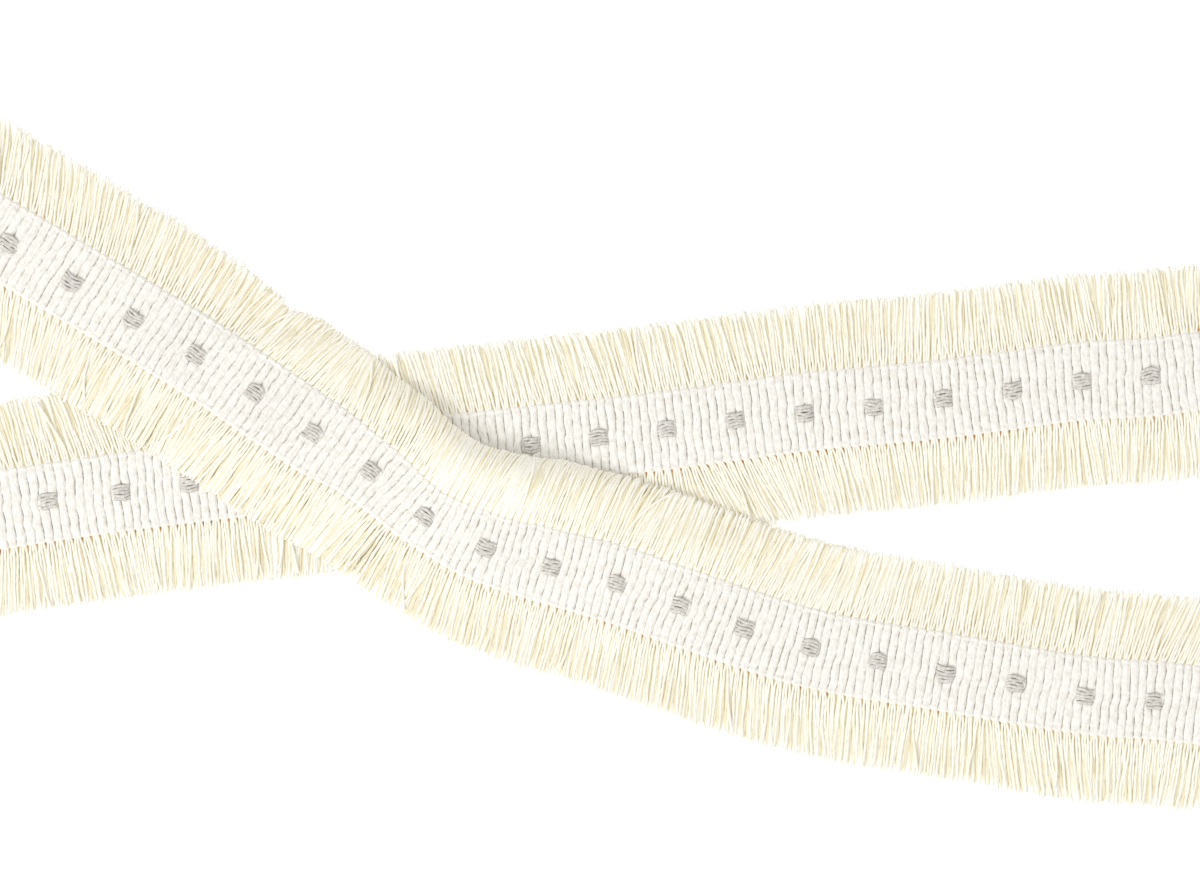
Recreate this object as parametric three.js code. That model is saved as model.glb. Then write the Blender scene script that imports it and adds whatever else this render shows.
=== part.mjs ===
// A length of dot fringe trim, laid flat in one loop that crosses over itself.
// Millimetres, +Z up. The origin is on the surface below the point where the trim crosses itself.
import * as THREE from 'three';

// The woven band
const bandWidth = 18;           // from fringe root to fringe root
const wovenEdge = 1.1;          // the firm edge cord that the fringe grows from
const partGap = 0.3;            // clearance between neighbouring pieces
const ribPitch = 2;             // one cross rib
const crestHeight = 1.8;        // band thickness on a rib
const grooveHeight = 1.35;      // band thickness between two ribs

// The fringe
const fringeLength = 15.6;      // root to tip
const rootHeight = 1.4;
const tipHeight = 0.8;
const tipShare = 0.8;           // a lock's width at its tip, as a share of its root
const tipUnevenness = 0.035;    // how far cut tips differ, as a share of the length
const bowSweep = 0.75 * Math.PI;                        // the part of a wave that arched fringe follows
const lockSteps = 2;            // sections along a lock
const locksInStretch = [21, 20, 20, 12, 12, 54];       // three before the turn, two on it, one after it

// The dots, floats of thicker yarn over two ribs
const dotPitch = 8 * ribPitch;
const dotSide = 4.1;
const dotFloats = 5;
const floatHeight = 0.5;
const floatGroove = 0.25;

// The drape over the stretch that lies underneath
const liftOverBand = 3.1;
const liftOverFringe = 1.7;
const bandShoulder = { from: 10, to: 20 };      // distance from the lower stretch's centre line
const fringeShoulder = { from: 27, to: 38 };

// The turn that joins the two stretches on the right, between these places along the trim, in dots
const turn = { x: 201.6, y: -16.9, radius: 38.6, halfAngle: 93, rows: 7, fromDot: 20.06, toDot: 27.89 };

// Rows along the centre line, in the trim's own direction. dot is how many dots lie before the row, so the
// trim is drawn out a little where its rows lie wider apart. width is the band's share of its full width.
// leanIn and leanOut are the forward lean, in degrees, of the fringe inside and outside the loop.
// raise lifts the band's inner edge, bow arches the inner fringe, and reach is its share of full length.
const laidFlat = { width: 1, raise: 0, bow: 0, reach: 1 };
const upperStretch = [
  { ...laidFlat, dot: -0.25, x: -99.0, y: 61.6, leanIn: -16, leanOut: 20 },
  { ...laidFlat, dot: 2, x: -65.8, y: 42.0, leanIn: -10, leanOut: 10 },
  { ...laidFlat, dot: 4, x: -37.5, y: 25.1, leanIn: 3, leanOut: 0, reach: 0.94 },
  { ...laidFlat, dot: 6, x: -10.6, y: 7.1, leanIn: 4, leanOut: -2, reach: 0.95, bow: 0.5 },
  { dot: 7, x: 2.8, y: -1.8, leanIn: -4, leanOut: -2, width: 0.86, raise: 0.4, bow: 1.5, reach: 0.88 },
  { dot: 8, x: 15.2, y: -12.0, leanIn: -8, leanOut: 0, width: 0.79, raise: 1.2, bow: 3, reach: 0.84 },
  { dot: 9, x: 29.2, y: -19.1, leanIn: -2, leanOut: 3, width: 0.9, raise: 1.2, bow: 3.4, reach: 0.84 },
  { dot: 10, x: 44.2, y: -23.5, leanIn: 8, leanOut: 3, width: 0.97, raise: 0.4, bow: 1.8, reach: 0.95 },
  { ...laidFlat, dot: 11, x: 59.2, y: -27.6, leanIn: 7, leanOut: 2, bow: 0.8 },
  { ...laidFlat, dot: 12, x: 73.8, y: -32.7, leanIn: 5, leanOut: 2, bow: 0.3 },
  { ...laidFlat, dot: 14, x: 103.7, y: -42.3, leanIn: 10, leanOut: 10 },
  { ...laidFlat, dot: 16, x: 134.8, y: -47.8, leanIn: 6, leanOut: 5 },
  { ...laidFlat, dot: 18, x: 167.0, y: -53.1, leanIn: 8, leanOut: 10 },
  { ...laidFlat, dot: 19, x: 182.7, y: -54.3, leanIn: 8, leanOut: 4 },
];
const lowerStretch = [
  { ...laidFlat, dot: 29, x: 182.1, y: 20.0, leanIn: 4, leanOut: -1 },
  { ...laidFlat, dot: 30, x: 166.2, y: 19.1, leanIn: 6, leanOut: -1 },
  { ...laidFlat, dot: 32, x: 134.3, y: 15.0, leanIn: -2, leanOut: -3 },
  { ...laidFlat, dot: 34, x: 102.4, y: 12.0, leanIn: -10, leanOut: 5 },
  { ...laidFlat, dot: 36, x: 70.8, y: 7.8, leanIn: -2, leanOut: 9 },
  { ...laidFlat, dot: 38, x: 39.6, y: 4.4, leanIn: 8, leanOut: 8 },
  { ...laidFlat, dot: 40.53, x: 0.0, y: 0.0, leanIn: 4, leanOut: 10 },
  { ...laidFlat, dot: 44, x: -54.7, y: -6.4, leanIn: -3, leanOut: 10 },
  { ...laidFlat, dot: 46.12, x: -90.0, y: -11.6, leanIn: 6, leanOut: 8 },
];

function turnRows() {
  const rows = [];
  for (let i = 0; i < turn.rows; i += 1) {
    const share = i / (turn.rows - 1);
    const angle = THREE.MathUtils.degToRad(THREE.MathUtils.lerp(-turn.halfAngle, turn.halfAngle, share));
    rows.push({
      ...laidFlat,
      dot: THREE.MathUtils.lerp(turn.fromDot, turn.toDot, share),
      x: turn.x + turn.radius * Math.cos(angle),
      y: turn.y + turn.radius * Math.sin(angle),
      leanIn: 0,
      leanOut: 0,
    });
  }
  return rows;
}

const rows = [...upperStretch, ...turnRows(), ...lowerStretch];
const centreLine = new THREE.CatmullRomCurve3(rows.map((row) => new THREE.Vector3(row.x, row.y, 0)));
const stepsPerRow = 100;
centreLine.arcLengthDivisions = stepsPerRow * (rows.length - 1);
const lengths = centreLine.getLengths();

// Each row's place along the trim, and its share of the centre line's length.
rows.forEach((row, index) => {
  row.distance = row.dot * dotPitch;
  row.share = lengths[index * stepsPerRow] / lengths[lengths.length - 1];
});
const cutStart = rows[0].distance;
const cutEnd = rows[rows.length - 1].distance;
const upperEnd = upperStretch[upperStretch.length - 1].distance;
const lockPitch = (cutEnd - cutStart) / locksInStretch.reduce((sum, locks) => sum + locks, 0);

// The rows on either side of a distance along the trim, and how far it lies between them.
function between(distance) {
  let next = rows.findIndex((row) => row.distance >= distance);
  next = next < 0 ? rows.length - 1 : Math.max(1, next);
  const before = rows[next - 1];
  const after = rows[next];
  return { before, after, part: (distance - before.distance) / (after.distance - before.distance) };
}

// A column of the rows, eased from row to row.
function columnAt(name, distance) {
  const { before, after, part } = between(distance);
  return THREE.MathUtils.lerp(before[name], after[name], THREE.MathUtils.smoothstep(part, 0, 1));
}

// The centre line of the stretch underneath, as points for measuring the drape.
const underPoints = [];
for (let distance = lowerStretch[0].distance; distance <= cutEnd; distance += ribPitch) {
  underPoints.push(centreLine.getPointAt(shareAt(distance)));
}

// The share of the centre line's length at a distance along the trim.
function shareAt(distance) {
  const { before, after, part } = between(distance);
  return THREE.MathUtils.clamp(THREE.MathUtils.lerp(before.share, after.share, part), 0, 1);
}

// How high the upper stretch rides over the lower one at a place on the surface.
function liftAt(x, y) {
  const away = Math.min(...underPoints.map((point) => Math.hypot(point.x - x, point.y - y)));
  const offBand = THREE.MathUtils.smoothstep(away, bandShoulder.from, bandShoulder.to);
  const offFringe = THREE.MathUtils.smoothstep(away, fringeShoulder.from, fringeShoulder.to);
  return (liftOverBand - liftOverFringe) * (1 - offBand) + liftOverFringe * (1 - offFringe);
}

// Half the band's width between its fringe roots, and half the width of its ribbed part.
const halfBandAt = (distance) => (bandWidth / 2) * columnAt('width', distance);
const halfRibbedAt = (distance) => halfBandAt(distance) - wovenEdge - partGap;

// A point of the trim: distance along it, place across it (plus is inside the loop) and height in it.
// The ribbed part stays straight across from edge to edge.
function place(distance, across, height) {
  const edge = halfRibbedAt(distance);
  if (Math.abs(across) < edge) {
    const outer = place(distance, -edge, height);
    return outer.lerp(place(distance, edge, height), 0.5 + across / (2 * edge));
  }
  const share = shareAt(distance);
  const middle = centreLine.getPointAt(share);
  const forward = centreLine.getTangentAt(share);
  const beyond = distance - THREE.MathUtils.clamp(distance, cutStart, cutEnd);
  const x = middle.x + forward.x * beyond - forward.y * across;
  const y = middle.y + forward.y * beyond + forward.x * across;
  const tilt = THREE.MathUtils.clamp(0.5 + across / bandWidth, 0, 1);
  const lift = distance < upperEnd ? liftAt(x, y) + tilt * columnAt('raise', distance) : 0;
  return new THREE.Vector3(x, y, height + lift);
}

// Points and outward faces of one closed piece.
class Shell {
  constructor(mirrored = false) {
    this.points = [];
    this.faces = [];
    this.mirrored = mirrored;
  }

  ring(corners) {
    return corners.map((corner) => this.points.push(corner.x, corner.y, corner.z) / 3 - 1);
  }

  quad(a, b, c, d) {
    this.faces.push(...(this.mirrored ? [a, c, b, a, d, c] : [a, b, c, a, c, d]));
  }

  // Joins two rings of four; a side that something else grows from is left open.
  join(from, to, openSide = -1) {
    for (let i = 0; i < from.length; i += 1) {
      const next = (i + 1) % from.length;
      if (i !== openSide) this.quad(from[i], from[next], to[next], to[i]);
    }
  }

  closeStart(ring) {
    this.quad(ring[0], ring[3], ring[2], ring[1]);
  }

  closeEnd(ring) {
    this.quad(...ring);
  }

  mesh(name, material) {
    const geometry = new THREE.BufferGeometry();
    geometry.setAttribute('position', new THREE.Float32BufferAttribute(this.points, 3));
    geometry.setIndex(this.faces);
    geometry.computeVertexNormals();
    const mesh = new THREE.Mesh(geometry, material);
    mesh.name = name;
    return mesh;
  }
}

// The ribbed band, one piece from cut end to cut end, with a section on every crest and groove.
function makeBand() {
  const shell = new Shell();
  const halfRib = ribPitch / 2;
  const steps = Math.round((cutEnd - cutStart) / halfRib);
  let last = null;
  for (let step = 0; step <= steps; step += 1) {
    const distance = THREE.MathUtils.lerp(cutStart, cutEnd, step / steps);
    const top = step % 2 === 0 ? grooveHeight : crestHeight;
    const edge = halfRibbedAt(distance);
    const ring = shell.ring([
      place(distance, -edge, 0),
      place(distance, edge, 0),
      place(distance, edge, top),
      place(distance, -edge, top),
    ]);
    if (last) shell.join(last, ring);
    else shell.closeStart(ring);
    last = ring;
  }
  shell.closeEnd(last);
  return shell.mesh('band', new THREE.MeshStandardMaterial({ color: 0xf8f5ee, roughness: 0.9, metalness: 0 }));
}

// A quiet unevenness for the cut tips, from -1 to 1.
const tipWave = (index) => 0.6 * Math.sin(index * 2.4) + 0.4 * Math.sin(index * 0.9 + 1);

// One stretch of woven edge with its locks. side is 1 inside the loop and -1 outside it.
function makeFringeStretch(name, side, start, count, firstIndex) {
  const shell = new Shell(side < 0);
  const leanName = side > 0 ? 'leanIn' : 'leanOut';
  const edgeRing = (distance) => {
    const outer = halfBandAt(distance);
    return shell.ring([
      place(distance, side * (outer - wovenEdge), 0),
      place(distance, side * outer, 0),
      place(distance, side * outer, rootHeight),
      place(distance, side * (outer - wovenEdge), rootHeight),
    ]);
  };
  const grow = (from, to, distance, index) => {
    const reach = side > 0 ? columnAt('reach', distance) : 1;
    const bow = side > 0 ? columnAt('bow', distance) : 0;
    const length = fringeLength * reach * (1 + tipUnevenness * tipWave(index));
    const lean = Math.tan(THREE.MathUtils.degToRad(columnAt(leanName, distance)));
    let last = [from[1], from[2], to[2], to[1]];
    for (let step = 1; step <= lockSteps; step += 1) {
      const share = step / lockSteps;
      const across = side * (halfBandAt(distance) + length * share);
      const middle = distance + lean * length * share;
      const half = (lockPitch / 2) * THREE.MathUtils.lerp(1, tipShare, share);
      const floor = bow * Math.sin(bowSweep * share);
      const top = floor + THREE.MathUtils.lerp(rootHeight, tipHeight, share);
      const ring = shell.ring([
        place(middle - half, across, floor),
        place(middle - half, across, top),
        place(middle + half, across, top),
        place(middle + half, across, floor),
      ]);
      shell.join(last, ring);
      last = ring;
    }
    shell.closeEnd(last);
  };
  let last = edgeRing(start + partGap / 2);
  shell.closeStart(last);
  for (let i = 0; i < count; i += 1) {
    const end = start + (i + 1) * lockPitch;
    const ring = edgeRing(i === count - 1 ? end - partGap / 2 : end);
    shell.join(last, ring, 1);
    grow(last, ring, end - lockPitch / 2, firstIndex + i);
    last = ring;
  }
  shell.closeEnd(last);
  return shell.mesh(name, new THREE.MeshStandardMaterial({ color: 0xf6edd4, roughness: 0.95, metalness: 0 }));
}

function makeFringes() {
  const group = new THREE.Group();
  [['inner', 1], ['outer', -1]].forEach(([word, side]) => {
    let index = 0;
    locksInStretch.forEach((count, stretch) => {
      const name = `fringe_${word}_${stretch + 1}`;
      group.add(makeFringeStretch(name, side, cutStart + index * lockPitch, count, index));
      index += count;
    });
  });
  return group;
}

// One dot: a low block whose top is a row of rounded floats that run along the band.
function dotGeometry() {
  const outline = new THREE.Shape();
  const floatWidth = dotSide / dotFloats;
  outline.moveTo(-dotSide / 2, 0);
  outline.lineTo(dotSide / 2, 0);
  for (let i = 0; i < dotFloats; i += 1) {
    const edge = dotSide / 2 - i * floatWidth;
    outline.lineTo(edge, floatGroove);
    outline.lineTo(edge - floatWidth / 2, floatHeight);
  }
  outline.lineTo(-dotSide / 2, floatGroove);
  outline.closePath();
  const geometry = new THREE.ExtrudeGeometry(outline, { depth: dotSide, bevelEnabled: false, steps: 1 });
  return geometry.translate(0, 0, -dotSide / 2);
}

function makeDots() {
  const group = new THREE.Group();
  const geometry = dotGeometry();
  const half = dotSide / 2;
  let number = 1;
  for (let at = 0; at < cutEnd - dotSide; at += dotPitch) {
    const material = new THREE.MeshStandardMaterial({ color: 0xa8a29a, roughness: 0.9, metalness: 0 });
    const dot = new THREE.Mesh(geometry.clone(), material);
    const middle = place(at, 0, 0);
    const [ahead, behind, inner, outer] = [
      [half, 0], [-half, 0], [0, half], [0, -half],
    ].map(([along, across]) => place(at + along, across, 0).sub(middle));
    const forward = ahead.clone().sub(behind).normalize();
    const up = forward.clone().cross(inner.clone().sub(outer)).normalize();
    const left = up.clone().cross(forward);
    const hollow = Math.max(0, ahead.dot(up) + Math.max(inner.dot(up), outer.dot(up)));
    dot.quaternion.setFromRotationMatrix(new THREE.Matrix4().makeBasis(left, up, forward));
    dot.position.copy(middle).addScaledVector(up, crestHeight + partGap + hollow);
    dot.name = `dot_${String(number).padStart(2, '0')}`;
    group.add(dot);
    number += 1;
  }
  return group;
}

const trim = new THREE.Group();
trim.add(makeBand());
trim.add(makeFringes());
trim.add(makeDots());

export default trim;
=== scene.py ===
import math

import bpy
import numpy as np
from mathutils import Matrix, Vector


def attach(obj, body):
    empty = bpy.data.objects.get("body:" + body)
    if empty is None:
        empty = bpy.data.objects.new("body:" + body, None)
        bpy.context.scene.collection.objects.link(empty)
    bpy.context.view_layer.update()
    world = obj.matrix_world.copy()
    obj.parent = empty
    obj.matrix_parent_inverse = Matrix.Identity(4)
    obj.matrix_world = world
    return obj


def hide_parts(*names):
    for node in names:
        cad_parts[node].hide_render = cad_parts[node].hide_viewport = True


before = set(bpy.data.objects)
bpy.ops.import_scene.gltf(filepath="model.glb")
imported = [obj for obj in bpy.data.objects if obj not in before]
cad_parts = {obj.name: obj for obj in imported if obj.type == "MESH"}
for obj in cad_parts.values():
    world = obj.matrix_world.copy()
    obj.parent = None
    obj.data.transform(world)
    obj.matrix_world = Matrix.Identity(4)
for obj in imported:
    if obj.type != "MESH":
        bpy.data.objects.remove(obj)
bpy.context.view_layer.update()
random = np.random.default_rng(20)

# The trim's route over the surface, in metres and in the trim's own direction. dot is how many dots lie
# before the row, width is the band's share of its full width, raised lifts the band's inner edge, and bow
# arches the inner fringe.
route = {
    "dotPitch": 0.016,
    "columns": ("dot", "x", "y", "width", "raised", "bow"),
    "upperStretch": [
        (-0.25, -0.0990, 0.0616, 1, 0, 0),
        (2, -0.0658, 0.0420, 1, 0, 0),
        (4, -0.0375, 0.0251, 1, 0, 0),
        (6, -0.0106, 0.0071, 1, 0, 0.0005),
        (7, 0.0028, -0.0018, 0.86, 0.0004, 0.0015),
        (8, 0.0152, -0.0120, 0.79, 0.0012, 0.0030),
        (9, 0.0292, -0.0191, 0.90, 0.0012, 0.0034),
        (10, 0.0442, -0.0235, 0.97, 0.0004, 0.0018),
        (11, 0.0592, -0.0276, 1, 0, 0.0008),
        (12, 0.0738, -0.0327, 1, 0, 0.0003),
        (14, 0.1037, -0.0423, 1, 0, 0),
        (16, 0.1348, -0.0478, 1, 0, 0),
        (18, 0.1670, -0.0531, 1, 0, 0),
        (19, 0.1827, -0.0543, 1, 0, 0),
    ],
    "turn": {"x": 0.2016, "y": -0.0169, "radius": 0.0386, "halfAngle": 93, "rows": 7,
             "fromDot": 20.06, "toDot": 27.89},
    "lowerStretch": [
        (29, 0.1821, 0.0200, 1, 0, 0),
        (30, 0.1662, 0.0191, 1, 0, 0),
        (32, 0.1343, 0.0150, 1, 0, 0),
        (34, 0.1024, 0.0120, 1, 0, 0),
        (36, 0.0708, 0.0078, 1, 0, 0),
        (38, 0.0396, 0.0044, 1, 0, 0),
        (40.53, 0.0, 0.0, 1, 0, 0),
        (44, -0.0547, -0.0064, 1, 0, 0),
        (46.12, -0.0900, -0.0116, 1, 0, 0),
    ],
    "samplesPerRow": 100,
    "liftStride": 4,              # every how many samples of the lower stretch the lift is measured from
    "placesAtOnce": 20000,        # how many places are measured at a time
    "liftOverBand": 0.0031,       # how high the upper stretch rides over the lower one's band
    "liftOverFringe": 0.0017,
    "bandShoulder": (0.010, 0.020),      # distances from the lower stretch's centre line
    "fringeShoulder": (0.027, 0.038),
}

bandSizes = {
    "width": 0.018,               # from fringe root to fringe root
    "edge": 0.0011,               # the firm edge cord on each side
    "gap": 0.0003,
    "ribPitch": 0.002,
    "crest": 0.00185,
    "groove": 0.00108,
}
anyPhase = (0, 6.3)               # a wave may start anywhere in a turn


def smoothstep(value, low, high):
    part = np.clip((value - low) / (high - low), 0, 1)
    return part * part * (3 - 2 * part)


def turnRows():
    turn = route["turn"]
    rows = []
    for share in np.linspace(0, 1, turn["rows"]):
        angle = math.radians(turn["halfAngle"] * (2 * share - 1))
        dot = turn["fromDot"] + (turn["toDot"] - turn["fromDot"]) * share
        x = turn["x"] + turn["radius"] * math.cos(angle)
        y = turn["y"] + turn["radius"] * math.sin(angle)
        rows.append((dot, x, y, 1, 0, 0))
    return rows


# A centripetal curve through the points, as close samples of its place and direction.
def curveSamples(points, steps):
    wide = np.vstack([2 * points[0] - points[1], points, 2 * points[-1] - points[-2]])
    places, slopes = [], []
    part = (np.arange(steps + 1) / steps)[:, None]
    for i in range(len(points) - 1):
        p0, p1, p2, p3 = wide[i:i + 4]
        before, here, after = (np.linalg.norm(b - a) ** 0.5 for a, b in ((p0, p1), (p1, p2), (p2, p3)))
        start = ((p1 - p0) / before - (p2 - p0) / (before + here) + (p2 - p1) / here) * here
        end = ((p2 - p1) / here - (p3 - p1) / (here + after) + (p3 - p2) / after) * here
        square, cube = 3 * (p2 - p1) - 2 * start - end, 2 * (p1 - p2) + start + end
        last = i == len(points) - 2
        w = part if last else part[:-1]
        places.append(p1 + start * w + square * w ** 2 + cube * w ** 3)
        slopes.append(start + 2 * square * w + 3 * cube * w ** 2)
    slopes = np.vstack(slopes)
    return np.vstack(places), slopes / np.linalg.norm(slopes, axis=1)[:, None]


allRows = route["upperStretch"] + turnRows() + route["lowerStretch"]
column = dict(zip(route["columns"], np.array(allRows, float).T))
rowDistance = column["dot"] * route["dotPitch"]
places, directions = curveSamples(np.column_stack([column["x"], column["y"]]), route["samplesPerRow"])
sampleLength = np.concatenate([[0], np.cumsum(np.linalg.norm(np.diff(places, axis=0), axis=1))])
rowLength = sampleLength[::route["samplesPerRow"]]
cutStart, cutEnd = rowDistance[0], rowDistance[-1]
upperEnd = rowDistance[len(route["upperStretch"]) - 1]
ribCount = round((cutEnd - cutStart) / bandSizes["ribPitch"])
ribLength = (cutEnd - cutStart) / ribCount
underStart = rowLength[len(allRows) - len(route["lowerStretch"])]
underPlaces = places[sampleLength >= underStart][::route["liftStride"]]


# A column of the route, eased from row to row.
def columnAt(name, distance):
    after = np.clip(np.searchsorted(rowDistance, distance), 1, len(rowDistance) - 1)
    part = smoothstep(distance, rowDistance[after - 1], rowDistance[after])
    return column[name][after - 1] * (1 - part) + column[name][after] * part


# How high the upper stretch rides over the lower one at places on the surface.
def liftAt(x, y):
    spots = np.column_stack([x.ravel(), y.ravel()])
    away = np.empty(len(spots))
    atOnce = route["placesAtOnce"]
    for start in range(0, len(spots), atOnce):
        part = spots[start:start + atOnce]
        gaps = part[:, None, :] - underPlaces[None, :, :]
        away[start:start + atOnce] = np.sqrt((gaps ** 2).sum(2).min(1))
    away = away.reshape(x.shape)
    onBand = 1 - smoothstep(away, *route["bandShoulder"])
    onFringe = 1 - smoothstep(away, *route["fringeShoulder"])
    return (route["liftOverBand"] - route["liftOverFringe"]) * onBand + route["liftOverFringe"] * onFringe


def halfBandAt(distance):
    return bandSizes["width"] / 2 * columnAt("width", distance)


def halfRibbedAt(distance):
    return halfBandAt(distance) - bandSizes["edge"] - bandSizes["gap"]


# Points of the trim from the distance along it, the place across it (plus is inside the loop) and the
# height in it.
def drapedPlace(distance, across, height):
    length = np.interp(distance, rowDistance, rowLength)
    x, y = (np.interp(length, sampleLength, places[:, i]) for i in (0, 1))
    forwardX, forwardY = (np.interp(length, sampleLength, directions[:, i]) for i in (0, 1))
    beyond = distance - np.clip(distance, cutStart, cutEnd)
    x = x + forwardX * beyond - forwardY * across
    y = y + forwardY * beyond + forwardX * across
    lift = np.zeros(x.shape)
    upper = distance < upperEnd
    tilt = np.clip(0.5 + across / bandSizes["width"], 0, 1)
    lift[upper] = liftAt(x[upper], y[upper]) + (tilt * columnAt("raised", distance))[upper]
    return np.stack([x, y, height + lift], axis=-1)


# As drapedPlace, but the ribbed part stays straight across from edge to edge.
def place(distance, across, height):
    distance, across, height = (np.array(v, float) for v in np.broadcast_arrays(distance, across, height))
    points = drapedPlace(distance, across, height)
    edge = halfRibbedAt(distance)
    inside = np.abs(across) < edge
    here, rim, level = distance[inside], edge[inside], height[inside]
    part = (0.5 + across[inside] / (2 * rim))[:, None]
    points[inside] = drapedPlace(here, -rim, level) * (1 - part) + drapedPlace(here, rim, level) * part
    return points


# A mesh piece from points, faces of four and faces of three. Marks are values kept on its points.
def makePiece(name, points, quads, triangles, materials, marks, faceSlots=None):
    mesh = bpy.data.meshes.new(name)
    corners = points.reshape(-1, 3)
    fours = np.array(quads, int).reshape(-1, 4)
    threes = np.array(triangles, int).reshape(-1, 3)
    mesh.from_pydata(corners.tolist(), [], fours.tolist() + threes.tolist())
    for markName, (kind, values) in marks.items():
        layer = mesh.attributes.new(markName, kind, "POINT")
        layer.data.foreach_set("value" if kind == "FLOAT" else "vector", np.ravel(values).astype(np.float32))
    mesh.polygons.foreach_set("use_smooth", np.ones(len(mesh.polygons), bool))
    for material in materials:
        mesh.materials.append(material)
    if faceSlots is not None:
        mesh.polygons.foreach_set("material_index", np.array(faceSlots, np.int32))
    piece = bpy.data.objects.new(name, mesh)
    bpy.context.scene.collection.objects.link(piece)
    return piece


# Faces between rings of points: rings is an index grid of ring by corner, closed round each ring.
def ringFaces(rings):
    nextCorner = np.roll(rings, -1, axis=-1)
    a, b, c, d = rings[..., :-1, :], rings[..., 1:, :], nextCorner[..., 1:, :], nextCorner[..., :-1, :]
    return np.stack([a, b, c, d], axis=-1).reshape(-1, 4)


# Fans of three-cornered faces that close the two ends of each tube.
def endFans(rings, firstTips, lastTips):
    first, last = rings[..., 0, :], rings[..., -1, :]
    firstTip = np.broadcast_to(firstTips[..., None], first.shape)
    lastTip = np.broadcast_to(lastTips[..., None], last.shape)
    start = np.stack([firstTip, first, np.roll(first, -1, axis=-1)], axis=-1).reshape(-1, 3)
    end = np.stack([lastTip, np.roll(last, -1, axis=-1), last], axis=-1).reshape(-1, 3)
    return np.vstack([start, end])


# A closed form from its rings: its points, with one more at the middle of each end, and its faces.
def closedForm(rings, flipped=False):
    count = rings.shape[0] * rings.shape[1]
    index = np.arange(count).reshape(rings.shape[:2])
    points = np.vstack([rings.reshape(-1, 3), rings[0].mean(0), rings[-1].mean(0)])
    quads, triangles = ringFaces(index), endFans(index, np.array(count), np.array(count + 1))
    if flipped:
        quads, triangles = quads[:, ::-1], triangles[:, ::-1]
    return points, quads, triangles


# Several forms as one: their points, faces of four and faces of three.
def joinedForm(forms):
    firsts = np.cumsum([0] + [len(form[0]) for form in forms[:-1]])
    points = np.vstack([form[0] for form in forms])
    quads = np.vstack([form[1] + first for form, first in zip(forms, firsts)])
    triangles = np.vstack([form[2] + first for form, first in zip(forms, firsts)])
    return points, quads, triangles


# What a plied yarn's finish needs on a closed form: the length along it, and the cosine and sine round it.
def threadMarks(length, angle):
    thread = np.zeros((len(length) * len(angle) + 2, 3))
    thread[:-2, 0] = np.repeat(length, len(angle))
    thread[:-2, 1] = np.tile(np.cos(angle), len(length))
    thread[:-2, 2] = np.tile(np.sin(angle), len(length))
    return thread


print("setting up the camera")
photoCamera = {
    "centre": (0.0554, 0.0045),
    "frameWidth": 0.276,          # what the picture's width takes in at the trim's mid height
    "midHeight": 0.001,
    "lens": 135,
    "sensor": 36,
    "clip": (0.01, 20),
}


def makeCamera():
    data = bpy.data.cameras.new("photo_camera")
    data.lens, data.sensor_width = photoCamera["lens"], photoCamera["sensor"]
    away = photoCamera["frameWidth"] * data.lens / data.sensor_width
    data.clip_start, data.clip_end = photoCamera["clip"]
    camera = bpy.data.objects.new("photo_camera", data)
    camera.location = (*photoCamera["centre"], photoCamera["midHeight"] + away)
    bpy.context.scene.collection.objects.link(camera)
    bpy.context.scene.camera = camera


makeCamera()

print("mixing the finishes")


# The node tree of a new shader group with named inputs and outputs.
def makeGroup(name, inputs, outputs):
    group = bpy.data.node_groups.new(name, "ShaderNodeTree")
    for socketName, kind, value in inputs:
        socket = group.interface.new_socket(name=socketName, in_out="INPUT", socket_type=kind)
        if value is not None:
            socket.default_value = value
    for socketName, kind in outputs:
        group.interface.new_socket(name=socketName, in_out="OUTPUT", socket_type=kind)
    return group


def addNode(tree, kind, values=None, **settings):
    node = tree.nodes.new(kind)
    for key, value in settings.items():
        setattr(node, key, value)
    for key, value in (values or {}).items():
        if isinstance(value, bpy.types.NodeSocket):
            tree.links.new(value, node.inputs[key])
        else:
            node.inputs[key].default_value = value
    return node


def mathNode(tree, operation, first, second=0.0, third=0.0):
    return addNode(tree, "ShaderNodeMath", {0: first, 1: second, 2: third}, operation=operation).outputs[0]


def mixColour(tree, share, first, second):
    return addNode(tree, "ShaderNodeMix", {0: share, 6: first, 7: second}, data_type="RGBA").outputs[2]


def remap(tree, value, low, high, newLow=0.0, newHigh=1.0):
    values = {"Value": value, "From Min": low, "From Max": high, "To Min": newLow, "To Max": newHigh}
    return addNode(tree, "ShaderNodeMapRange", values, interpolation_type="SMOOTHSTEP").outputs[0]


grain = {
    "fibreDetail": 3.0,
    "patchDetail": 2.0,
    "valleyFrom": 0.35,           # below this height a ply counts as the groove beside it, where painted shade goes
}
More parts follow.
